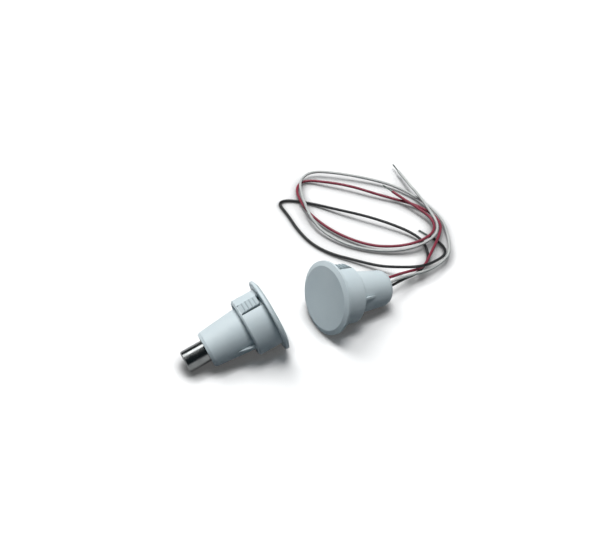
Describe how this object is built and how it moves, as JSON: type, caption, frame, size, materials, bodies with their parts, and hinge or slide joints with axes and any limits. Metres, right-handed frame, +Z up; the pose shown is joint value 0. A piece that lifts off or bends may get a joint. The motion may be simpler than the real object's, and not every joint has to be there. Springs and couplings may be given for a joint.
{
  "type": "magnetic door contact",
  "caption": "Recessed magnetic door contact: flanged snap-in switch with loose leads and a matching magnet half, both lying on a table.",
  "frame": {"origin": "middle of the two halves' footprint, on the table they lie on", "axes": "+Z up; the switch half's rear end points towards +X and +Y, the magnet half's towards -X and -Y, and the camera of the picture looks along +Y from above"},
  "size_m": [0.1164, 0.1404, 0.0308],
  "materials": {
    "housing_plastic": "smooth moulded",
    "magnet_plating": "polished nickel plate",
    "adhesive_resin": "cast resin",
    "potting_resin": "cast resin",
    "reed_glass": "clear green tint",
    "reed_metal": "nickel iron",
    "contact_plating": "plated contact",
    "sleeve_plastic": "soft sleeve",
    "solder": "solder",
    "white_insulation": "soft vinyl",
    "red_insulation": "soft vinyl",
    "black_insulation": "soft vinyl",
    "tinned_copper": "tinned strands"
  },
  "bodies": {
    "root": {"magnet_housing": "housing_plastic", "magnet": "magnet_plating", "magnet_adhesive": "adhesive_resin", "switch_housing": "housing_plastic", "potting": "potting_resin", "reed_glass": "reed_glass", "reed_common_blade": "reed_metal", "reed_closed_contact": "reed_metal", "reed_open_contact": "reed_metal", "reed_closed_plate": "contact_plating", "reed_sleeve": "sleeve_plastic", "common_lead_sleeve": "sleeve_plastic", "red_solder_joint": "solder", "white_solder_joint": "solder", "black_solder_joint": "solder", "white_wire": "white_insulation", "red_wire": "red_insulation", "black_wire": "black_insulation", "white_wire_end": "tinned_copper", "red_wire_end": "tinned_copper", "black_wire_end": "tinned_copper"}
  },
  "joints": []
}
